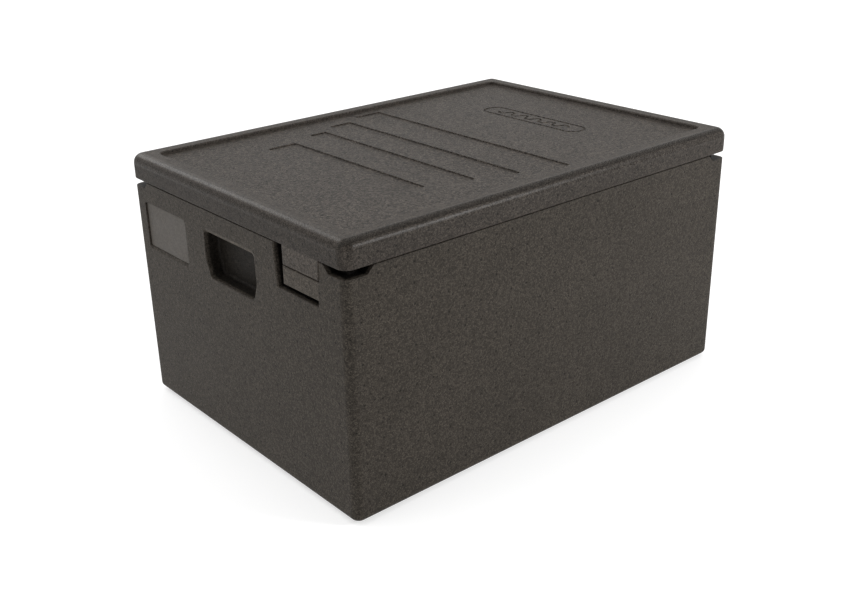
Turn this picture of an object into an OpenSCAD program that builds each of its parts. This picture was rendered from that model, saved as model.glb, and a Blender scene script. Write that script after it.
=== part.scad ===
// Top-loading insulated food carrier, moulded in expanded polypropylene foam.
// Origin: centre of the footprint, on the surface it stands on. +X is its length, +Z is up.
// The two ends are the same, turned half a turn about Z, so the lid fits either way round.

/* [Overall] */
// Length over the lid
carrier_l = 690; // [660:1:740]
// Width over the lid
carrier_w = 490; // [470:1:520]
// Height over the closed lid
carrier_h = 363; // [300:1:420]
// Height of the joint between body and lid
parting_h = 329; // [270:1:340]
// Thickness of the body's walls
wall_t = 32.5; // [28:0.5:38]

/* [Body] */
// How far the body's outside stands back from the lid's, on every side
body_inset = 1; // [0.5:0.5:3]
// Thickness of the floor, foot included
floor_t = 32; // [24:1:40]
// Height of the foot that nests in the lid of the carrier below
foot_h = 4; // [2:0.5:5]
// Gap all round between a foot and the lid recess that it nests in
foot_gap = 2; // [1:0.5:4]
// Radius of the body's vertical corners
body_corner_r = 12; // [8:1:20]
// Radius of the body's bottom edges
body_edge_r = 8; // [4:1:12]
// Radius of the cavity's vertical corners
cavity_r = 24; // [12:1:40]

/* [Rim] */
// Height of the rim tongue above the joint
tongue_h = 10; // [6:1:14]
// Width of the outer ledge that the lid's skirt rests on
ledge_w = 15; // [12:0.5:18]
// Clearance between lid and body
lid_gap = 0.5; // [0.4:0.1:1]

/* [Lid] */
// Radius of the lid's top edges and vertical corners
lid_edge_r = 14; // [10:1:16]
// Width of the raised border round the top
border_w = 29; // [20:1:40]
// Depth of the recess in the top
recess_d = 5.5; // [3:0.5:7]
// Radius of the recess's corners
recess_r = 10; // [6:1:20]
// How far the plug reaches below the joint
plug_d = 7; // [4:1:12]

/* [Bars] */
// Depth of the sunk bars in the top
bar_d = 2; // [1:0.5:3]
// Widths of the four bars, from the first end on
bar_widths = [46, 28, 37, 46];
// Places of the bars' far edges along the length
bar_far_edges = [-141, -74, -14, 57];
// Length of the shortest bar
bar_first_l = 282; // [200:1:300]
// How much longer each bar is than the one before
bar_step_l = 40; // [20:1:45]

/* [Motif] */
// Length of the plain heat-wave motif, which lies across the lid
motif_l = 196; // [150:1:220]
// Width of the motif
motif_w = 38; // [30:1:50]
// Place of the motif's centre along the length
motif_x = 195; // [180:1:240]
// Width and depth of its grooves
motif_groove = 3; // [2:0.5:4]
// Radius of each half wave, at the groove's middle
wave_r = 7; // [5:0.5:8]
// Number of half waves in each line
wave_count = 10; // [6:2:12]

/* [Hand holds] */
// Width of the opening at its widest
grip_w = 117; // [100:1:130]
// Width of the opening at its bottom
grip_bottom_w = 98; // [80:1:100]
// Height of the opening
grip_h = 61; // [45:1:65]
// Distance from the joint down to the opening
grip_drop = 32; // [25:1:40]
// Depth of the pocket
grip_d = 22; // [15:1:24]

/* [Label panels] */
// Width of the recess that holds a label panel
label_w = 105; // [80:1:110]
// Height of the recess
label_h = 63; // [40:1:70]
// Distance from the joint down to the recess
label_drop = 31; // [20:1:40]
// Distance from the carrier's middle to the recess's nearer side
label_y = 111; // [80:1:120]
// Depth of the recess
label_d = 4; // [3:0.5:6]
// Thickness of the label panel
panel_t = 1.5; // [1:0.5:2]
// Play between the panel and the recess's sides
panel_play = 0.5; // [0.3:0.1:1]

/* [Lid tabs] */
// Side of the pocket that lies nearer the corner, from the middle
pocket_outer_y = 196; // [180:1:200]
// Width of the pocket at its bottom
pocket_w = 82.5; // [60:0.5:86]
// How far each side of the pocket leans out on its way up to the joint
pocket_flare = 4.5; // [0:0.5:8]
// Depth of the pocket below the joint
pocket_drop = 57; // [40:1:70]
// Depth of the pocket into the wall
pocket_d = 16; // [12:1:18]
// Width of the rest block under the lid tab
block_w = 77; // [50:1:80]
// Height of the rest block
block_h = 23.5; // [15:0.5:30]
// Width of the lid tab
tab_w = 75; // [50:1:78]
// Length of the lid tab below the joint
tab_h = 24; // [15:0.5:30]
// Thickness of the lid tab
tab_t = 13; // [8:1:14]
// Gap between the tab and the block under it
tab_gap = 2; // [1:0.5:4]

/* [Corner finger notches] */
// Length of a notch along each wall, at the joint
notch_l = 41; // [30:1:60]
// Height of a notch
notch_h = 10; // [6:1:14]

/* [Hidden] */
$fn = 64;
foam = [0.27, 0.255, 0.24];
lid_foam = [0.33, 0.315, 0.3];
panel_grey = [0.38, 0.365, 0.35];
over = 1;                                   // how far a cutter passes a face
ends = [0, 180];                            // turn that makes each end from the -X one
body_l = carrier_l - 2 * body_inset;
body_w = carrier_w - 2 * body_inset;
face_x = -body_l / 2;                       // outside of the -X wall
side_y = body_w / 2;                        // outside of the +Y wall
ledge_z = parting_h - lid_gap;              // top of the body's outer ledge
tongue_z = parting_h + tongue_h;            // top of the body's tongue
cavity_l = body_l - 2 * wall_t;
cavity_w = body_w - 2 * wall_t;
recess_l = carrier_l - 2 * border_w;
recess_w = carrier_w - 2 * border_w;
recess_z = carrier_h - recess_d;            // floor of the lid's recess
tongue_r = body_corner_r;
block_top = parting_h - tab_h - tab_gap;
panel_x = face_x + label_d - panel_t;       // front of a label panel

// ---- shapes that repeat ----

module rounded_rect(l, w, r) {
    square([l - 2 * r, w], center = true);
    square([l, w - 2 * r], center = true);
    for (x = [-1, 1], y = [-1, 1]) translate([x * (l / 2 - r), y * (w / 2 - r)]) circle(r);
}

module rounded_block(l, w, h, r) {
    linear_extrude(h) rounded_rect(l, w, r);
}

// Upright outline, w wide and h high, with its lower corners rounded
module low_rounded(w, h, r) {
    translate([-w / 2, r]) square([w, h - r]);
    translate([-w / 2 + r, 0]) square([w - 2 * r, h]);
    for (s = [-1, 1]) translate([s * (w / 2 - r), r]) circle(r);
}

// Block with rounded vertical corners and rounded bottom edges, standing on z = 0
module tub_block(l, w, h, corner_r, edge_r) {
    intersection() {
        rounded_block(l, w, h, corner_r);
        translate([-l / 2 - over, 0, 0]) rotate([90, 0, 90])
            linear_extrude(l + 2 * over) low_rounded(w, h, edge_r);
        translate([0, w / 2 + over, 0]) rotate([90, 0, 0])
            linear_extrude(w + 2 * over) low_rounded(l, h, edge_r);
    }
}

// Prism along X, from x on inwards, with an outline given as [y, z] points
module end_prism(x, depth, outline) {
    translate([x, 0, 0]) rotate([90, 0, 90]) linear_extrude(depth) polygon(outline);
}

// ---- body ----

grip_top = parting_h - grip_drop;
grip_outline = [
    [-grip_bottom_w / 2, grip_top - grip_h], [grip_bottom_w / 2, grip_top - grip_h],
    [grip_w / 2, grip_top - 0.6 * grip_h], [grip_w / 2, grip_top - 0.15 * grip_h],
    [grip_w / 2 - 2, grip_top], [-grip_w / 2 + 2, grip_top],
    [-grip_w / 2, grip_top - 0.15 * grip_h], [-grip_w / 2, grip_top - 0.6 * grip_h]];

pocket_floor = parting_h - pocket_drop;
pocket_inner_y = -pocket_outer_y + pocket_w + 2 * pocket_flare;
pocket_outline = [
    [-pocket_outer_y + pocket_flare, pocket_floor], [pocket_inner_y - pocket_flare, pocket_floor],
    [pocket_inner_y, parting_h], [pocket_inner_y, ledge_z + over],
    [-pocket_outer_y, ledge_z + over], [-pocket_outer_y, parting_h]];

module tab_pocket() {
    difference() {
        end_prism(face_x - over, pocket_d + over, pocket_outline);
        translate([face_x, -pocket_outer_y - over, block_top - block_h])
            cube([pocket_d + over, block_w + over, block_h]);
    }
}

module hand_hold() {
    end_prism(face_x - over, grip_d + over, grip_outline);
}

module label_recess() {
    translate([face_x - over, label_y, parting_h - label_drop - label_h])
        cube([label_d + over, label_w, label_h]);
}

// Sloping-ended slot under the lid's skirt, along one wall at a corner, for the fingers
module finger_slot(wall_half, along_half) {
    outline = [
        [along_half - notch_l, ledge_z + over], [along_half - notch_l, ledge_z],
        [along_half - notch_l + notch_h, ledge_z - notch_h],
        [along_half + over, ledge_z - notch_h], [along_half + over, ledge_z + over]];
    end_prism(wall_half - ledge_w, ledge_w + over, outline);
}

module finger_notches() {
    for (x = [0, 1], y = [0, 1]) mirror([x, 0, 0]) mirror([0, y, 0]) {
        finger_slot(body_l / 2, body_w / 2);
        mirror([1, -1, 0]) finger_slot(body_w / 2, body_l / 2);
    }
}

module body() {
    color(foam) difference() {
        union() {
            translate([0, 0, foot_h])
                tub_block(body_l, body_w, ledge_z - foot_h, body_corner_r, body_edge_r);
            rounded_block(recess_l - 2 * foot_gap, recess_w - 2 * foot_gap, foot_h + over, recess_r);
            translate([0, 0, ledge_z - over])
                rounded_block(body_l - 2 * ledge_w, body_w - 2 * ledge_w, tongue_h + over, tongue_r);
        }
        translate([0, 0, floor_t]) rounded_block(cavity_l, cavity_w, carrier_h, cavity_r);
        for (turn = ends) rotate(turn) {
            tab_pocket();
            hand_hold();
            label_recess();
        }
        finger_notches();
    }
}

// ---- lid ----

// Outline of one line of the motif: half rings, turned up and down by turns
module wave_line() {
    for (i = [0 : wave_count - 1]) translate([(i - (wave_count - 1) / 2) * 2 * wave_r, 0])
        intersection() {
            difference() {
                circle(wave_r + motif_groove / 2);
                circle(wave_r - motif_groove / 2);
            }
            translate([-2 * wave_r, i % 2 == 0 ? 0 : -2 * wave_r]) square([4 * wave_r, 2 * wave_r]);
        }
}

module motif() {
    translate([motif_x, 0, recess_z - bar_d]) rotate(90) linear_extrude(bar_d + over) {
        difference() {
            rounded_rect(motif_l, motif_w, motif_w / 2 - motif_groove);
            rounded_rect(motif_l - 2 * motif_groove, motif_w - 2 * motif_groove,
                motif_w / 2 - 2 * motif_groove);
        }
        wave_line();
    }
}

module bars() {
    for (i = [0 : len(bar_widths) - 1]) {
        length = bar_first_l + i * bar_step_l;
        translate([bar_far_edges[i] - bar_widths[i], -length / 2, recess_z - bar_d])
            cube([bar_widths[i], length, bar_d + over]);
    }
}

// Tab whose outer side leans like the pocket's
module lid_tab() {
    outer = lid_gap - pocket_outer_y;
    lean = pocket_flare * tab_h / pocket_drop;
    end_prism(-carrier_l / 2, tab_t, [
        [outer + lean, parting_h - tab_h], [outer + tab_w, parting_h - tab_h],
        [outer + tab_w, parting_h + over], [outer, parting_h + over], [outer, parting_h]]);
}

module lid() {
    plug_inset = wall_t + lid_gap;
    groove_z = tongue_z + lid_gap;
    groove_inset = ledge_w - lid_gap;
    color(lid_foam) difference() {
        union() {
            difference() {
                translate([0, 0, carrier_h]) mirror([0, 0, 1])
                    tub_block(carrier_l, carrier_w, carrier_h - parting_h, lid_edge_r, lid_edge_r);
                translate([0, 0, parting_h - over])
                    rounded_block(body_l - 2 * groove_inset, body_w - 2 * groove_inset,
                        groove_z - parting_h + over, tongue_r);
            }
            translate([0, 0, parting_h - plug_d])
                rounded_block(body_l - 2 * plug_inset, body_w - 2 * plug_inset,
                    groove_z - parting_h + plug_d + over, cavity_r);
            for (turn = ends) rotate(turn) lid_tab();
        }
        translate([0, 0, recess_z]) rounded_block(recess_l, recess_w, recess_d + over, recess_r);
        bars();
        motif();
    }
}

// ---- label panels ----

module label_panel() {
    color(panel_grey) translate([panel_x, label_y + panel_play,
            parting_h - label_drop - label_h + panel_play])
        cube([panel_t, label_w - 2 * panel_play, label_h - 2 * panel_play]);
}

module label_panel_left() {
    label_panel();
}

module label_panel_right() {
    rotate(180) label_panel();
}

body();
lid();
label_panel_left();
label_panel_right();
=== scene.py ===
import math

import bmesh
import bpy
from mathutils import Matrix, Vector


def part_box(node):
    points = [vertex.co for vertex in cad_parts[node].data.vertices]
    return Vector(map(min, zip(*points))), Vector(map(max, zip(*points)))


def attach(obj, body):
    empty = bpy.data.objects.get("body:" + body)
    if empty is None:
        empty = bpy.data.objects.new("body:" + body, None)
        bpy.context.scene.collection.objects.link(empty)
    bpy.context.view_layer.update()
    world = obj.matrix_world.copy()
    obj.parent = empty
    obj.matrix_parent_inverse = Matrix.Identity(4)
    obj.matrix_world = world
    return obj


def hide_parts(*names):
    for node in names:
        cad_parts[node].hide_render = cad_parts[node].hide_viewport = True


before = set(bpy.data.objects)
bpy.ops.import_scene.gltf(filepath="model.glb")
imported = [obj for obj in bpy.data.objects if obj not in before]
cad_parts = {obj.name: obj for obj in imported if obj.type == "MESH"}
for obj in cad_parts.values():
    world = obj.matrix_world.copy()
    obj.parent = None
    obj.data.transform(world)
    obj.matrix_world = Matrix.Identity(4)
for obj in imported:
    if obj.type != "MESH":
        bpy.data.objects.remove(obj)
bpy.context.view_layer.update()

# ---- sizes, in millimetres, from the frame and the design ----

MM = 0.001


def node_box(node):
    """Lowest and highest corner of a CAD node, in millimetres."""
    lo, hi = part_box(node)
    return lo / MM, hi / MM


body_lo, body_hi = node_box("body")
lid_lo, lid_hi = node_box("lid")
panel_lo, panel_hi = node_box("label_panel_left")

BODY_L, BODY_W = body_hi.x - body_lo.x, body_hi.y - body_lo.y
LID_L, LID_W = lid_hi.x - lid_lo.x, lid_hi.y - lid_lo.y
TONGUE_H = 10                        # tongue of the rim, above the joint
PARTING = body_hi.z - TONGUE_H       # joint between body and lid
TOP = lid_hi.z
GAP = 0.5                            # clearance between body and lid
LEDGE_Z = PARTING - GAP
SHADOW_GAP = 0.5                     # how much lower the looks put the ledge, for a darker joint line
WALL = 32.5
LEDGE = 15                           # width of the ledge outside the tongue
FLOOR = 32
FOOT = 4
CAVITY_R = 24
BODY_R = 12
BODY_EDGE = 8
FOOT_INSET = 30
FOOT_R = 10
FOOT_EDGE = 1.5
LEDGE_EDGE = 0.8
RIM_EDGE = 2                         # both edges of the tongue's top
FLOOR_EDGE = 10
FILLET = 1                           # inner corners: round the foot, at the tongue's root, in the groove

LID_R = 15
LID_EDGE = 13.5
LID_OUT = (LID_L - BODY_L) / 2       # how far the lid stands out past the body
BORDER = 29
RECESS_D = 5.5
RECESS_R = 10
RECESS_Z = TOP - RECESS_D
PLUG_D = 7
PLUG_EDGE = 4
SKIRT_EDGE = 2
SKIRT_INNER_EDGE = 1.5
RECESS_RIM = 2.5
RECESS_EDGE = 1.5

BAR_WIDTHS = (46, 28, 37, 46)
BAR_FAR = (-141, -74, -14, 57)
BAR_FIRST = 282
BAR_STEP = 40
BAR_D = 2
BAR_R = 3

MOTIF_X, MOTIF_L, MOTIF_W = 195, 196, 38
MOTIF_LINE = 3                       # width that the design gives the motif's lines
MOTIF_TUBE = 2.2                     # radius of the groove that draws them
WAVE_R = 7
WAVES = 10

GRIP_W, GRIP_BOTTOM, GRIP_H, GRIP_D = 117, 98, 61, 22
GRIP_TOP = PARTING - 32
GRIP_SHALLOWER = 1                   # how much shallower the looks make the hand hold
# Corners and lips go anticlockwise round an outline in (y, z), from its lowest corner.
GRIP_CORNERS = (7, 8, 25, 5, 8, 25)
GRIP_LIPS = (1.5, 1.2, 1.2, 8, 4, 6)
GRIP_LIP_D, GRIP_FLOOR_EDGE = 4.5, 4

POCKET_OUT = -196                    # side of the tab pocket that lies nearer the corner
POCKET_W, POCKET_FLARE, POCKET_DROP, POCKET_D = 82.5, 4.5, 57, 16
POCKET_SLOPE = POCKET_FLARE / POCKET_DROP
TAB_H, TAB_W, TAB_T, TAB_GAP = 24, 75, 13, 2
BLOCK_W, BLOCK_H = 77, 23.5
BLOCK_TOP = PARTING - TAB_H - TAB_GAP
POCKET_CORNERS = (2, 2, 2, 2)
POCKET_LIPS = (1, 2.5, 1, 0.3)
POCKET_LIP_D, POCKET_FLOOR_EDGE = 2.5, 1.5
BLOCK_ROUNDS = (1, 5, 1.5, 1)
BLOCK_BACK = 0.1                     # how far the front of the block stands behind the end face
TAB_ROUNDS = (1, 6, 1, 0.95)
TAB_FRONT = 0.05                     # how far the front of the tab stands behind the lid's side
TAB_OUTER_GAP = 0.05                 # gap between the tab and the side of the pocket nearer the corner
TAB_ROOT = 8                         # how far the tab runs up into the lid

LABEL_D = 4
LABEL_CORNERS = (4, 3, 3, 7)
LABEL_LIPS = (5, 0.8, 2.5, 6)
LABEL_GAP, LABEL_FLOOR_EDGE = 0.1, 0.1
NOTCH_L, NOTCH_H, NOTCH_R = 41, 10, 2.5

ARC = 8                              # segments in a quarter round
SMALL_ARC = 4                        # segments in a small one
CLEAR = 3                            # how far a cutter reaches out past the surface that it cuts
SKIM = 0.02                          # a hair in front of a surface or behind it
ROOT = 2                             # how far a block reaches into what it is joined to
ENDS = (0, 180)                      # turn about Z that makes each end from the -X one
VENT_R, VENT_SOFT = 1.1, 0.9         # radius of a vent mark, and width of its soft edge
VENT_PITCH = 26                      # distance between the marks of the mould's vents
VENT_START = (0, 0, 329)             # a place halfway between rows, so that one row meets the skirt

# ---- mesh kit ----


def finish_mesh(obj, angle=32):
    """Smooth shading with creases kept, and normals that leave the flats flat."""
    mesh = obj.data
    mesh.polygons.foreach_set("use_smooth", [True] * len(mesh.polygons))
    mesh.set_sharp_from_angle(angle=math.radians(angle))
    weighted = obj.modifiers.new("weighted", "WEIGHTED_NORMAL")
    weighted.keep_sharp = True
    weighted.weight = 90
    return obj


def loft(name, rings):
    """Closed solid through rings of (x, y, z) points in millimetres, all with the same number of points."""
    bm = bmesh.new()
    layers = [[bm.verts.new(Vector(p) * MM) for p in ring] for ring in rings]
    n = len(rings[0])
    for low, high in zip(layers, layers[1:]):
        for i in range(n):
            bm.faces.new((low[i], low[(i + 1) % n], high[(i + 1) % n], high[i]))
    bm.faces.new(layers[0])
    bm.faces.new(layers[-1])
    bmesh.ops.remove_doubles(bm, verts=bm.verts, dist=1e-7)
    bmesh.ops.recalc_face_normals(bm, faces=bm.faces)
    mesh = bpy.data.meshes.new(name)
    bm.to_mesh(mesh)
    bm.free()
    obj = bpy.data.objects.new(name, mesh)
    bpy.context.scene.collection.objects.link(obj)
    return obj


def combine(target, tool, how):
    """Cuts tool out of target, or joins it on, and removes tool."""
    modifier = target.modifiers.new("combine", "BOOLEAN")
    modifier.operation = how
    modifier.solver = "EXACT"
    modifier.object = tool
    bpy.context.view_layer.update()
    graph = bpy.context.evaluated_depsgraph_get()
    mesh = bpy.data.meshes.new_from_object(target.evaluated_get(graph))
    target.modifiers.clear()
    target.data = mesh
    bpy.data.objects.remove(tool)
    return target


def cut(target, tool):
    return combine(target, tool, "DIFFERENCE")


def join(target, tool):
    return combine(target, tool, "UNION")


def arc(cx, cz, r, start, end, steps=ARC):
    """Points of an arc in the (inset, z) plane, with angles in degrees."""
    turns = [math.radians(start + (end - start) * i / steps) for i in range(steps + 1)]
    return [(cx + r * math.cos(a), cz + r * math.sin(a)) for a in turns]


def rounded_rect(half_l, half_w, r):
    """Anticlockwise points of a rectangle with rounded corners."""
    points = []
    for k, (sx, sy) in enumerate(((1, 1), (-1, 1), (-1, -1), (1, -1))):
        for i in range(ARC + 1):
            a = math.radians(90 * (k + i / ARC))
            points.append((sx * (half_l - r) + r * math.cos(a), sy * (half_w - r) + r * math.sin(a)))
    return points


def turned_profile(half_l, half_w, sections):
    """Rings that carry a profile round a rounded rectangle.
    Each section is (corner radius, inset it holds at, [(inset, z), ...])."""
    rings = []
    for corner, at, points in sections:
        for inset, z in points:
            outline = rounded_rect(half_l - inset, half_w - inset, max(corner + at - inset, 0.2))
            rings.append([(x, y, z) for x, y in outline])
    return rings


def rounded_polygon(corners, radii):
    """Convex anticlockwise polygon with rounded corners."""
    points = []
    n = len(corners)
    for i in range(n):
        before, here, after = (Vector(corners[(i + k) % n]) for k in (-1, 0, 1))
        into, out = (here - before).normalized(), (after - here).normalized()
        normal = Vector((into.y, -into.x))
        turn = -into.angle_signed(out)
        centre = here - into * radii[i] * math.tan(turn / 2) - normal * radii[i]
        start = math.atan2(normal.y, normal.x)
        for k in range(ARC + 1):
            a = start + turn * k / ARC
            points.append((centre.x + radii[i] * math.cos(a), centre.y + radii[i] * math.sin(a)))
    return points


def shifted(corners, shifts):
    """Convex anticlockwise polygon after each edge, the first starting at the first corner, moves out."""
    n = len(corners)
    edges = []
    for i in range(n):
        start, end = Vector(corners[i]), Vector(corners[(i + 1) % n])
        along = (end - start).normalized()
        edges.append((start + Vector((along.y, -along.x)) * shifts[i], along))
    moved = []
    for (p, along), (q, onward) in zip(edges[-1:] + edges[:-1], edges):
        reach = (q - p).cross(onward) / along.cross(onward)
        moved.append(p + along * reach)
    return moved


def round_off(t):
    """Height of a quarter round over its own foot, for a fraction t of the way down it."""
    return 1 - math.sqrt(max(1 - (1 - t) ** 2, 0)) if t < 1 else 0


def end_point(depth, y, z, turn):
    """A point at a depth behind the end face, with the end turned about Z."""
    s = 1 if turn == 0 else -1
    return (s * (-BODY_L / 2 + depth), s * y, z)


def end_pocket(name, corners, radii, depth, lips, lip_d, floor_r, turn):
    """Cutter for a pocket in an end face. Each edge of its rim is rounded over its own width in lips
    and over lip_d in depth, and the edge of its floor by floor_r."""
    levels = [(-CLEAR, 0.98)]
    for i in range(ARC + 1):
        t = 1 - math.cos(math.radians(90 * i / ARC))
        levels.append((lip_d * t - SKIM, round_off(t)))
    rings = [(d, [w * k for w in lips]) for d, k in levels]
    for i in range(SMALL_ARC + 1):
        a = math.radians(90 * i / SMALL_ARC)
        rings.append((depth - floor_r + floor_r * math.sin(a), [-floor_r * (1 - math.cos(a))] * len(lips)))
    outlines = [(d, rounded_polygon(shifted(corners, moves), radii)) for d, moves in rings]
    return loft(name, [[end_point(d, y, z, turn) for y, z in outline] for d, outline in outlines])


def end_pad(name, corners, rounds, front, back, turn):
    """Upright pad on an end, with each front edge rounded by its own radius."""
    parts = [1 - math.cos(math.radians(90 * i / ARC)) for i in range(ARC + 1)]
    depths = sorted({r * part for r in rounds for part in parts})
    rings = []
    for d in depths + [back - front]:
        moves = [-r * round_off(d / r) for r in rounds]
        outline = rounded_polygon(shifted(corners, moves), (1,) * len(corners))
        rings.append([end_point(front + d, y, z, turn) for y, z in outline])
    return loft(name, rings)


def upright(y0, y1, z0, z1):
    """Corners of an upright rectangle, anticlockwise from the lowest."""
    return [(y0, z0), (y1, z0), (y1, z1), (y0, z1)]


# ---- the tub ----


def tub_profile():
    """Sections from the foot, round the outside and over the rim, to the cavity's floor."""
    ledge_z = LEDGE_Z - SHADOW_GAP
    foot = [(FOOT_INSET + FOOT_EDGE, 0)] + arc(FOOT_INSET + FOOT_EDGE, FOOT_EDGE, FOOT_EDGE, 270, 180)
    foot += arc(FOOT_INSET - FILLET, FOOT - FILLET, FILLET, 0, 90)
    outside = arc(BODY_EDGE, FOOT + BODY_EDGE, BODY_EDGE, 270, 180)
    outside += arc(LEDGE_EDGE, ledge_z - LEDGE_EDGE, LEDGE_EDGE, 180, 90)
    tongue = arc(LEDGE - FILLET, ledge_z + FILLET, FILLET, 270, 360, SMALL_ARC)
    tongue += arc(LEDGE + RIM_EDGE, body_hi.z - RIM_EDGE, RIM_EDGE, 180, 90)
    cavity = arc(WALL - RIM_EDGE, body_hi.z - RIM_EDGE, RIM_EDGE, 90, 0)
    cavity += arc(WALL + FLOOR_EDGE, FLOOR + FLOOR_EDGE, FLOOR_EDGE, 180, 270)
    return [(FOOT_R, FOOT_INSET, foot), (BODY_R, 0, outside),
            (BODY_R, LEDGE, tongue), (CAVITY_R, WALL, cavity)]


def finger_cutter(x_half, y_half, sx, sy, swap):
    """Cutter of the slot under the skirt at a corner, along an end, or along a long side when swapped."""
    z0, z1 = LEDGE_Z - NOTCH_H, LEDGE_Z + CLEAR
    tangent = y_half - NOTCH_L + NOTCH_H + NOTCH_R * math.tan(math.radians(22.5))
    turns = [math.radians(45 * i / SMALL_ARC) for i in range(SMALL_ARC + 1)]
    bend = [(tangent - NOTCH_R * math.sin(a), z0 + NOTCH_R * (1 - math.cos(a))) for a in turns]
    outline = [(y_half + CLEAR, z1), (y_half + CLEAR, z0)] + bend + [(y_half - NOTCH_L - CLEAR, z1)]
    rings = []
    for depth in (x_half - LEDGE, x_half + CLEAR):
        ring = [(depth, u, z) for u, z in outline]
        if swap:
            ring = [(u, d, z) for d, u, z in ring]
        rings.append([(sx * x, sy * y, z) for x, y, z in ring])
    return loft("finger_cutter", rings)


def grip_cutter(turn):
    """The hand hold, which narrows towards its bottom, and a little towards its top."""
    half, bottom = GRIP_W / 2, GRIP_TOP - GRIP_H
    bend = bottom + 0.4 * GRIP_H
    corners = [(-GRIP_BOTTOM / 2, bottom), (GRIP_BOTTOM / 2, bottom), (half, bend),
               (half - 1, GRIP_TOP), (-half + 1, GRIP_TOP), (-half, bend)]
    return end_pocket("grip_cutter", corners, GRIP_CORNERS, GRIP_D - GRIP_SHALLOWER, GRIP_LIPS,
                      GRIP_LIP_D, GRIP_FLOOR_EDGE, turn)


def label_cutter(turn):
    """The shallow recess round a label panel."""
    corners = upright(panel_lo.y - LABEL_GAP, panel_hi.y + LABEL_GAP,
                      panel_lo.z - LABEL_GAP, panel_hi.z + LABEL_GAP)
    return end_pocket("label_cutter", corners, LABEL_CORNERS, LABEL_D, LABEL_LIPS,
                      LABEL_D, LABEL_FLOOR_EDGE, turn)


def pocket_cutter(turn):
    """The tab's pocket, whose sides lean out on the way up and which is open to the joint."""
    low, high = PARTING - POCKET_DROP, PARTING + CLEAR
    out, inner = POCKET_OUT + POCKET_FLARE, POCKET_OUT + POCKET_FLARE + POCKET_W
    lean = (high - low) * POCKET_SLOPE
    corners = [(out, low), (inner, low), (inner + lean, high), (out - lean, high)]
    return end_pocket("pocket_cutter", corners, POCKET_CORNERS, POCKET_D, POCKET_LIPS,
                      POCKET_LIP_D, POCKET_FLOOR_EDGE, turn)


def rest_block(turn):
    """The block under the tab, rooted in the pocket's floor and in its side nearer the corner."""
    corners = upright(POCKET_OUT - ROOT, POCKET_OUT + BLOCK_W, BLOCK_TOP - BLOCK_H, BLOCK_TOP)
    return end_pad("block", corners, BLOCK_ROUNDS, BLOCK_BACK, POCKET_D + ROOT, turn)


def make_tub():
    tub = loft("tub_moulding", turned_profile(BODY_L / 2, BODY_W / 2, tub_profile()))
    for turn in ENDS:
        cut(tub, grip_cutter(turn))
        cut(tub, label_cutter(turn))
        cut(tub, pocket_cutter(turn))
        join(tub, rest_block(turn))
    for sx in (-1, 1):
        for sy in (-1, 1):
            cut(tub, finger_cutter(BODY_L / 2, BODY_W / 2, sx, sy, False))
            cut(tub, finger_cutter(BODY_W / 2, BODY_L / 2, sx, sy, True))
    return tub


# ---- the lid ----


def lid_profile():
    """Sections from the plug's underside, up and over the tongue and round the skirt, to the recess."""
    plug_inset = LID_OUT + WALL + GAP
    skirt_inset = LID_OUT + LEDGE - GAP
    groove_z = body_hi.z + GAP
    plug = arc(plug_inset + PLUG_EDGE, PARTING - PLUG_D + PLUG_EDGE, PLUG_EDGE, 270, 180)
    plug += arc(plug_inset - FILLET, groove_z - FILLET, FILLET, 0, 90, SMALL_ARC)
    skirt = arc(skirt_inset + FILLET, groove_z - FILLET, FILLET, 90, 180, SMALL_ARC)
    skirt += arc(skirt_inset - SKIRT_INNER_EDGE, PARTING + SKIRT_INNER_EDGE, SKIRT_INNER_EDGE, 0, -90)
    outside = arc(SKIRT_EDGE, PARTING + SKIRT_EDGE, SKIRT_EDGE, 270, 180)
    outside += arc(LID_EDGE, TOP - LID_EDGE, LID_EDGE, 180, 90, 2 * ARC)
    recess = arc(BORDER - RECESS_RIM, TOP - RECESS_RIM, RECESS_RIM, 90, 0)
    recess += arc(BORDER + RECESS_EDGE, RECESS_Z + RECESS_EDGE, RECESS_EDGE, 180, 270)
    return [(CAVITY_R, plug_inset, plug), (BODY_R, skirt_inset, skirt), (LID_R, 0, outside),
            (RECESS_R, BORDER, recess)]


def bar_cutter(far_x, width, length):
    """A sunk bar in the floor of the lid's recess, with a round of two steps at its floor and its rim."""
    edge, middle = 0.8, 0.25
    floor_round = [(BAR_D, -edge), (BAR_D - middle, -middle), (BAR_D - edge, 0)]
    rim_round = [(edge, 0), (middle, middle), (-SKIM, edge)]
    rings = []
    for depth, grow in floor_round + rim_round + [(-CLEAR, edge)]:
        outline = rounded_rect(width / 2 + grow, length / 2 + grow, BAR_R + grow)
        rings.append([(x + far_x - width / 2, y, RECESS_Z - depth) for x, y in outline])
    return loft("bar_cutter", rings)


def groove_cutter(points, closed):
    """Round-bottomed groove along points (x, y) in the floor of the lid's recess."""
    curve = bpy.data.curves.new("groove", "CURVE")
    curve.dimensions = "3D"
    curve.bevel_depth = MOTIF_TUBE * MM
    curve.bevel_resolution = 4
    curve.use_fill_caps = True
    spline = curve.splines.new("POLY")
    spline.points.add(len(points) - 1)
    for p, (x, y) in zip(spline.points, points):
        p.co = (x * MM, y * MM, (RECESS_Z + 0.1) * MM, 1)
    spline.use_cyclic_u = closed
    holder = bpy.data.objects.new("groove", curve)
    bpy.context.scene.collection.objects.link(holder)
    bpy.context.view_layer.update()
    mesh = bpy.data.meshes.new_from_object(holder.evaluated_get(bpy.context.evaluated_depsgraph_get()))
    bpy.data.objects.remove(holder)
    obj = bpy.data.objects.new("groove_cutter", mesh)
    bpy.context.scene.collection.objects.link(obj)
    return obj


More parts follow.
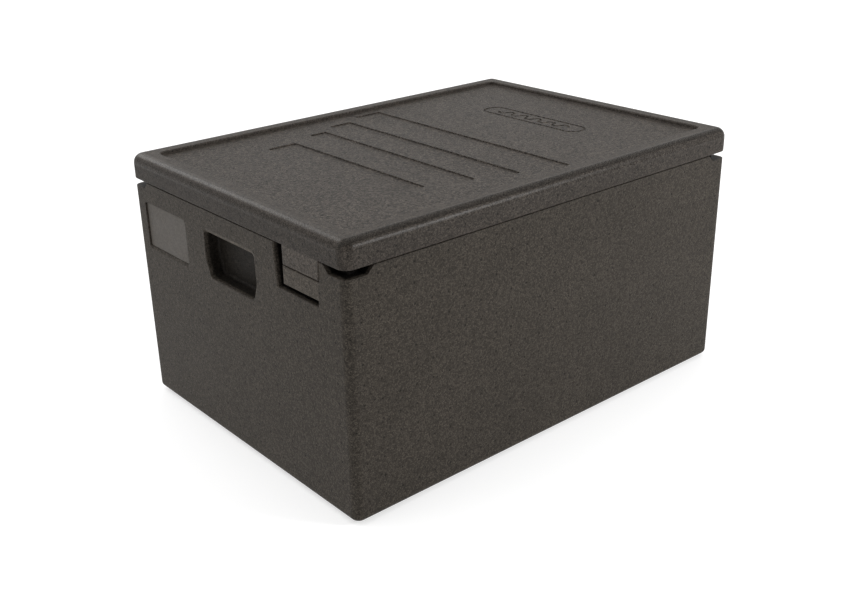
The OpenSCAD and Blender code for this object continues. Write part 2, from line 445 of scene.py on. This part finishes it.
def wave_points():
    """One line of half circles along Y, bent by turns to +X and -X."""
    points = []
    steps = 12
    for i in range(WAVES):
        centre = (i - (WAVES - 1) / 2) * 2 * WAVE_R
        up = 1 if i % 2 == 0 else -1
        for k in range(0 if i == 0 else 1, steps + 1):
            a = math.radians(180 - 180 * k / steps)
            points.append((MOTIF_X + up * WAVE_R * math.sin(a), centre + WAVE_R * math.cos(a)))
    return points


def lid_tab(turn):
    """A tab that hangs from the lid's end, with the outer side leaning like the pocket's."""
    low, high = PARTING - TAB_H, PARTING + TAB_ROOT
    out, inner = POCKET_OUT + TAB_OUTER_GAP, POCKET_OUT + GAP + TAB_W
    corners = [(out + TAB_H * POCKET_SLOPE, low), (inner, low),
               (inner, high), (out - TAB_ROOT * POCKET_SLOPE, high)]
    return end_pad("tab", corners, TAB_ROUNDS, TAB_FRONT - LID_OUT, TAB_T - LID_OUT, turn)


def make_lid():
    lid = loft("lid_moulding", turned_profile(LID_L / 2, LID_W / 2, lid_profile()))
    for turn in ENDS:
        join(lid, lid_tab(turn))
    for i, (width, far_x) in enumerate(zip(BAR_WIDTHS, BAR_FAR)):
        cut(lid, bar_cutter(far_x, width, BAR_FIRST + i * BAR_STEP))
    half_w, half_l = (MOTIF_W - MOTIF_LINE) / 2, (MOTIF_L - MOTIF_LINE) / 2
    border = [(MOTIF_X + x, y) for x, y in rounded_rect(half_w, half_l, half_w - MOTIF_LINE / 2)]
    cut(lid, groove_cutter(border, True))
    cut(lid, groove_cutter(wave_points(), False))
    return lid


# ---- the label panels ----


def make_panel(name, turn):
    """A thin plate with a small round of two steps along its front edge."""
    corners = upright(panel_lo.y, panel_hi.y, panel_lo.z, panel_hi.z)
    front = panel_lo.x + BODY_L / 2
    back = panel_hi.x + BODY_L / 2
    edge, middle = 0.4, 0.12
    rings = []
    for depth, grow in ((front, -edge), (front + middle, -middle), (front + edge, 0), (back, 0)):
        outline = rounded_polygon(shifted(corners, (grow,) * 4), LABEL_CORNERS)
        rings.append([end_point(depth, y, z, turn) for y, z in outline])
    return loft(name, rings)


# ---- materials ----

CHARCOAL = (0.0438, 0.0373, 0.0304)
# The lid's foam is the tub's, painted lighter as painted light and sheen for the lid's top.
COVER_LIT_CHARCOAL = (0.052, 0.044, 0.037)
PANEL_GREY = (0.069, 0.061, 0.053)
FLOOR_WHITE = (0.58, 0.58, 0.58)
GRIP_PAINTED_SHADE, POCKET_PAINTED_SHADE = 0.66, 0.88      # shares of the colour taken away as painted shade, in the hand holds and in the pockets and finger notches
# Shares of the colour taken away as painted shade on the lid's ends and long sides, and on the brow of the
# long sides' round.
END_PAINTED_SHADE, SIDE_PAINTED_SHADE, BROW_PAINTED_SHADE = 0.34, 0.18, 0.45
LIP_PAINTED_LIGHT, BLOCK_PAINTED_LIGHT, TAB_PAINTED_LIGHT = 0.7, 0.4, 0.6     # shares added as painted light, on the hand holds' lips, the blocks and the tabs
TOP_CONTRAST = 1.9
EDGE_POLISH = 0.45
BEADS, MOTTLE, GRAIN = 430, 750, 1300        # cells or waves in a metre
PITS, CLOUD = 230, 14


class Nodes:
    """Short ways to add and link shader nodes."""

    def __init__(self, name):
        self.material = bpy.data.materials.new(name)
        self.material.use_nodes = True
        self.tree = self.material.node_tree
        self.shader = self.tree.nodes["Principled BSDF"]
        coords = self.tree.nodes.new("ShaderNodeTexCoord")
        self.place = coords.outputs["Object"]
        self.facing = coords.outputs["Normal"]

    def add(self, kind, inputs=(), **settings):
        node = self.tree.nodes.new(kind)
        for key, value in settings.items():
            setattr(node, key, value)
        for key, value in dict(inputs).items():
            if isinstance(value, bpy.types.NodeSocket):
                self.tree.links.new(value, node.inputs[key])
            else:
                node.inputs[key].default_value = value
        return node

    def math(self, operation, *values):
        return self.add("ShaderNodeMath", enumerate(values), operation=operation).outputs[0]

    def ramp(self, value, low, high, to_low=0.0, to_high=1.0):
        """Maps value from low..high to to_low..to_high, clamped and smooth."""
        node = self.add("ShaderNodeMapRange", {"Value": value, "From Min": low, "From Max": high,
                        "To Min": to_low, "To Max": to_high}, interpolation_type="SMOOTHSTEP")
        return node.outputs["Result"]

    def noise(self, scale, detail=3.0, roughness=0.5):
        return self.add("ShaderNodeTexNoise", {"Vector": self.place, "Scale": scale, "Detail": detail,
                        "Roughness": roughness}).outputs["Fac"]

    def voronoi(self, scale, feature, output):
        return self.add("ShaderNodeTexVoronoi", {"Vector": self.place, "Scale": scale},
                        feature=feature).outputs[output]

    def millimetres(self):
        """X, Y and Z on the object, in millimetres."""
        scaled = self.tint(self.place, 1 / MM)
        return self.add("ShaderNodeSeparateXYZ", {0: scaled}).outputs

    def inside(self, along, half):
        """How far a place lies inside the two planes at plus and minus half."""
        return self.math("SUBTRACT", half, self.math("ABSOLUTE", along))

    def within(self, value, low, high, blend):
        """Rises from 0 to 1 over blend past low, and falls back to 0 over blend past high."""
        falling = self.ramp(value, high, high + blend, 1, 0)
        return self.math("MULTIPLY", self.ramp(value, low, low + blend), falling)

    def vents(self):
        """Small round marks in rows, on the faces that look along X, Y or Z."""
        place, facing = self.millimetres(), self.add("ShaderNodeSeparateXYZ", {0: self.facing}).outputs
        marks = 0.0
        for i, across in enumerate(((1, 2), (0, 2), (0, 1))):
            squares = []
            for k in across:
                along = self.math("SUBTRACT", place[k], VENT_START[k])
                off = self.math("SUBTRACT", self.math("FLOORED_MODULO", along, VENT_PITCH), VENT_PITCH / 2)
                squares.append(self.math("POWER", off, 2.0))
            away = self.math("SQRT", self.math("ADD", *squares))
            flat = self.ramp(self.math("ABSOLUTE", facing[i]), 0.93, 0.97)
            mark = self.ramp(away, VENT_R, VENT_R + VENT_SOFT, 1, 0)
            marks = self.math("ADD", marks, self.math("MULTIPLY", flat, mark))
        return self.math("MINIMUM", marks, 1.0)

    def tint(self, colour, factor):
        """A colour, or any vector, times a factor that may vary over the surface."""
        return self.add("ShaderNodeVectorMath", {0: colour, "Scale": factor}, operation="SCALE").outputs[0]

    def set(self, name, value):
        if isinstance(value, bpy.types.NodeSocket):
            self.tree.links.new(value, self.shader.inputs[name])
        else:
            self.shader.inputs[name].default_value = value

    def bump(self, height, strength, distance, before=None):
        inputs = {"Height": height, "Strength": strength, "Distance": distance}
        if before is not None:
            inputs["Normal"] = before
        return self.add("ShaderNodeBump", inputs).outputs["Normal"]


def foam(name, colour, regions, specular, contrast, polish):
    """Moulded bead foam: fused beads a few millimetres across with seams and pits between them, and the
    small marks that the mould's steam vents leave. regions gives a factor of painted shade and painted
    light for the parts of the surface that are darker or lighter, contrast one for how strongly the beads
    show, and polish one for the roughness and relief of smoother parts."""
    n = Nodes(name)
    strong, smooth = contrast(n), polish(n)
    seam = n.voronoi(BEADS, "DISTANCE_TO_EDGE", "Distance")
    bead = n.add("ShaderNodeSeparateColor", {"Color": n.voronoi(BEADS, "F1", "Color")}).outputs[0]
    cloud = n.noise(CLOUD, 4)
    mottle = n.noise(MOTTLE, 2)
    grain = n.noise(GRAIN, 2)
    pits = n.ramp(n.noise(PITS, 3, 0.65), 0.33, 0.38)
    vents = n.vents()
    darkest, lightest = n.math("MULTIPLY_ADD", strong, -0.3, 1.0), n.math("MULTIPLY_ADD", strong, 0.25, 1.0)
    factor = n.ramp(seam, 0.0, 0.12, 0.72, 1.02)
    factor = n.math("MULTIPLY", factor, n.ramp(bead, 0.0, 1.0, darkest, lightest))
    factor = n.math("MULTIPLY", factor, n.ramp(cloud, 0.3, 0.7, 0.96, 1.04))
    spread = n.ramp(mottle, 0.25, 0.75, -0.45, 0.5)
    factor = n.math("MULTIPLY", factor, n.math("MULTIPLY_ADD", spread, strong, 1.0))
    factor = n.math("MULTIPLY", factor, n.math("MULTIPLY_ADD", pits, 0.55, 0.45))
    factor = n.math("MULTIPLY", factor, n.math("MULTIPLY_ADD", vents, -0.55, 1.0))
    # Painted shade and painted light from regions.
    factor = n.math("MULTIPLY", factor, regions(n))
    n.set("Base Color", n.tint(colour, factor))
    roughness = n.ramp(mottle, 0.25, 0.75, 0.44, 0.58)
    n.set("Roughness", n.math("MULTIPLY", roughness, smooth))
    n.set("Specular IOR Level", specular)
    dome = n.math("MULTIPLY", n.ramp(seam, 0.0, 0.35), n.ramp(bead, 0.0, 1.0, 0.7, 1.0))
    height = n.math("ADD", dome, n.math("SUBTRACT", pits, vents))
    relief = n.math("MULTIPLY", n.math("MULTIPLY", strong, smooth), n.math("MULTIPLY", smooth, 0.00028))
    normal = n.bump(height, 0.7, relief)
    n.set("Normal", n.bump(grain, 0.4, 0.00012, normal))
    return n.material


def tub_painted_light(n):
    """Painted shade inside the pockets, hand holds and finger notches, and painted light on the round lip
    of the hand holds and on the blocks under the tabs. side is Y at the +X end and -Y at the -X end, so
    that both ends have the pocket at its high values."""
    x, y, z = n.millimetres()
    side = n.math("MULTIPLY", y, n.math("SIGN", x))
    depth = n.math("MINIMUM", n.inside(x, BODY_L / 2), n.inside(y, BODY_W / 2))
    # Painted shade deep in the hand holds, the tab pockets and the finger notches.
    deep = n.within(depth, 3.5, GRIP_D + 2, 4)
    deep = n.math("MULTIPLY", deep, n.within(z, 16, LEDGE_Z - 0.6, 0.5))
    deep = n.math("MULTIPLY", deep, n.ramp(n.math("ABSOLUTE", y), 70, 95, GRIP_PAINTED_SHADE, POCKET_PAINTED_SHADE))
    # Painted light on the round lip of the hand holds.
    lip = n.within(depth, SKIM, GRIP_LIP_D, 0.3)
    lip = n.math("MULTIPLY", lip, n.within(z, GRIP_TOP - GRIP_H + 6, GRIP_TOP + 10, 2))
    lip = n.math("MULTIPLY", lip, n.within(side, -56, GRIP_W / 2 + 6, 6))
    # Painted light on the blocks under the tabs.
    block = n.math("MULTIPLY", n.within(side, -POCKET_OUT - BLOCK_W, -POCKET_OUT - 4, 0.5),
                   n.within(z, BLOCK_TOP - BLOCK_H, BLOCK_TOP, 0.5))
    factor = n.math("MULTIPLY_ADD", lip, LIP_PAINTED_LIGHT, 1.0)
    factor = n.math("MULTIPLY", factor, n.math("MULTIPLY_ADD", block, BLOCK_PAINTED_LIGHT, 1.0))
    return n.math("MULTIPLY", factor, n.math("SUBTRACT", 1.0, deep))


def cover_painted_light(n):
    """Painted shade on the sides of the skirt and on the brow of the long sides' round, and painted light
    on the tabs.
    """
    x, y, z = n.millimetres()
    # Painted shade on the skirt's ends and long sides.
    end = n.ramp(n.inside(x, LID_L / 2), 1.5, 5, 1 - END_PAINTED_SHADE, 1.0)
    side = n.ramp(n.inside(y, LID_W / 2), 1.5, 5, 1 - SIDE_PAINTED_SHADE, 1.0)
    # Painted light on the tabs below the joint.
    tab = n.ramp(z, PARTING - 1, PARTING + 1, 1 + TAB_PAINTED_LIGHT, 1.0)
    # Painted shade on the brow of the long sides' round.
    brow = n.within(n.inside(y, LID_W / 2), 3, 11, 1)
    brow = n.math("MULTIPLY", brow, n.ramp(z, TOP - 9, TOP - 5, 0.0, BROW_PAINTED_SHADE))
    darker = n.math("MULTIPLY", n.math("MINIMUM", end, side), n.math("SUBTRACT", 1.0, brow))
    return n.math("MULTIPLY", darker, tab)


def cover_edge(n):
    """How far a place lies in from the lid's sides."""
    x, y, _ = n.millimetres()
    return n.math("MINIMUM", n.inside(x, LID_L / 2), n.inside(y, LID_W / 2))


def cover_contrast(n):
    """The beads show more on the lid's broad top."""
    return n.ramp(cover_edge(n), BORDER + 1, BORDER + 4, 1.0, TOP_CONTRAST)


def cover_polish(n):
    """The round along the lid's top edge is smoother."""
    z = n.millimetres()[2]
    round_edge = n.math("MULTIPLY", n.ramp(cover_edge(n), 10, 15, 1, 0), n.ramp(z, TOP - 16, TOP - 12))
    return n.math("MULTIPLY_ADD", round_edge, -EDGE_POLISH, 1.0)


def even(n):
    """The same all over."""
    return 1.0


def panel_plastic(name, colour):
    """Smooth satin sheet with a fine grain."""
    n = Nodes(name)
    grain = n.noise(420, 2)
    cloud = n.noise(30, 4)
    factor = n.math("MULTIPLY", n.ramp(grain, 0.25, 0.75, 0.80, 1.20), n.ramp(cloud, 0.3, 0.7, 0.94, 1.06))
    n.set("Base Color", n.tint(colour, factor))
    n.set("Roughness", n.ramp(cloud, 0.3, 0.7, 0.42, 0.52))
    n.set("Specular IOR Level", 0.12)
    n.set("Normal", n.bump(grain, 0.3, 0.00008))
    return n.material


def plain_floor(name):
    """Matt white that glows a little, so that it comes out white all over."""
    n = Nodes(name)
    cloud = n.noise(1.5, 2)
    n.set("Base Color", n.tint(FLOOR_WHITE, n.ramp(cloud, 0.3, 0.7, 0.99, 1.01)))
    n.set("Emission Color", (1, 1, 1, 1))
    n.set("Emission Strength", 0.55)
    n.set("Roughness", 0.8)
    n.set("Specular IOR Level", 0.1)
    return n.material


def dress(obj, material, slot, body, *nodes):
    """Gives a piece its material and shading, hangs it on its body, and hides the nodes it replaces. slot
    is not used.
    """
    obj.data.materials.clear()
    obj.data.materials.append(material)
    finish_mesh(obj)
    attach(obj, body)
    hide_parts(*nodes)


tub_look = foam("tub_foam", CHARCOAL, tub_painted_light, 0.07, even, even)
cover_look = foam("cover_foam", COVER_LIT_CHARCOAL, cover_painted_light, 0.09, cover_contrast, cover_polish)
panel_look = panel_plastic("panel_sheet", PANEL_GREY)
dress(make_tub(), tub_look, "body_foam", "tub", "body")
dress(make_lid(), cover_look, "lid_foam", "cover", "lid")
dress(make_panel("label_left", 0), panel_look, "label_panel", "tub", "label_panel_left")
dress(make_panel("label_right", 180), panel_look, "label_panel", "tub", "label_panel_right")

# ---- floor, light and camera ----

FLOOR_HALF, FLOOR_Z = 40, -0.0002    # metres
CAMERA_PLACE = (-0.979, -1.128, 0.767)
CAMERA_TURN = (49.79, -23.49, -1.15)     # yaw, pitch and roll
CAMERA_LENS = 46.26
BRIGHT_SIDE = (0.62, 0.78, 0)        # direction from the middle of the room to its brightest side
ROOM_DIM, ROOM_BRIGHT = 0.15, 1.1


def make_floor():
    mesh = bpy.data.meshes.new("floor")
    corners = [(x * FLOOR_HALF, y * FLOOR_HALF, FLOOR_Z) for x, y in ((-1, -1), (1, -1), (1, 1), (-1, 1))]
    mesh.from_pydata(corners, [], [(0, 1, 2, 3)])
    obj = bpy.data.objects.new("floor", mesh)
    bpy.context.scene.collection.objects.link(obj)
    obj.data.materials.append(plain_floor("floor_white"))


def far_light(name, source, spread, power):
    """Soft light from far away: source points from the carrier towards it, spread is how wide it looks."""
    light = bpy.data.lights.new(name, "SUN")
    light.energy = power
    light.angle = math.radians(spread)
    obj = bpy.data.objects.new(name, light)
    bpy.context.scene.collection.objects.link(obj)
    obj.rotation_euler = Vector(source).to_track_quat("Z", "Y").to_euler()


def softbox(name, place, aim, size, power):
    """Square lamp at a place, not seen itself."""
    light = bpy.data.lights.new(name, "AREA")
    light.size = size
    light.energy = power
    obj = bpy.data.objects.new(name, light)
    bpy.context.scene.collection.objects.link(obj)
    obj.location = place
    obj.rotation_euler = (Vector(place) - Vector(aim)).to_track_quat("Z", "Y").to_euler()
    obj.visible_camera = False


def make_light():
    """A white room, brighter behind the carrier than behind the camera, and four soft lamps."""
    world = bpy.data.worlds.new("studio")
    world.use_nodes = True
    nodes, links = world.node_tree.nodes, world.node_tree.links
    coords = nodes.new("ShaderNodeTexCoord")
    towards = nodes.new("ShaderNodeVectorMath")
    towards.operation = "DOT_PRODUCT"
    towards.inputs[1].default_value = BRIGHT_SIDE
    level = nodes.new("ShaderNodeMapRange")
    level.inputs["From Min"].default_value = -1
    level.inputs["To Min"].default_value = ROOM_DIM
    level.inputs["To Max"].default_value = ROOM_BRIGHT
    links.new(coords.outputs["Generated"], towards.inputs[0])
    links.new(towards.outputs["Value"], level.inputs["Value"])
    links.new(level.outputs["Result"], nodes["Background"].inputs["Strength"])
    nodes["Background"].inputs["Color"].default_value = (1, 1, 1, 1)
    bpy.context.scene.world = world
    far_light("overhead", (-0.1, 0.35, 1), 80, 0.9)
    softbox("front_right", (1.35, -2.1, 1.3), (-0.1, -0.24, 0.3), 0.7, 38)
    far_light("back", (-0.03, 0.81, 0.59), 24, 0.5)
    far_light("left", (-1, 0.25, 0.5), 60, 0.75)


def make_camera():
    """The photograph's view, from above the corner between the -X end and the -Y side."""
    camera = bpy.data.objects.new("camera", bpy.data.cameras.new("camera"))
    bpy.context.scene.collection.objects.link(camera)
    yaw, pitch, roll = (math.radians(a) for a in CAMERA_TURN)
    forward = Vector((math.cos(yaw) * math.cos(pitch), math.sin(yaw) * math.cos(pitch), math.sin(pitch)))
    right = Vector((math.sin(yaw), -math.cos(yaw), 0))
    up = right.cross(forward)
    tilted_right = right * math.cos(roll) + up * math.sin(roll)
    tilted_up = up * math.cos(roll) - right * math.sin(roll)
    facing = Matrix((tilted_right, tilted_up, -forward)).transposed().to_4x4()
    camera.matrix_world = Matrix.Translation(CAMERA_PLACE) @ facing
    camera.data.lens = CAMERA_LENS
    camera.data.sensor_width = 36
    bpy.context.scene.camera = camera


make_floor()
make_light()
make_camera()
bpy.context.scene.view_settings.view_transform = "Standard"
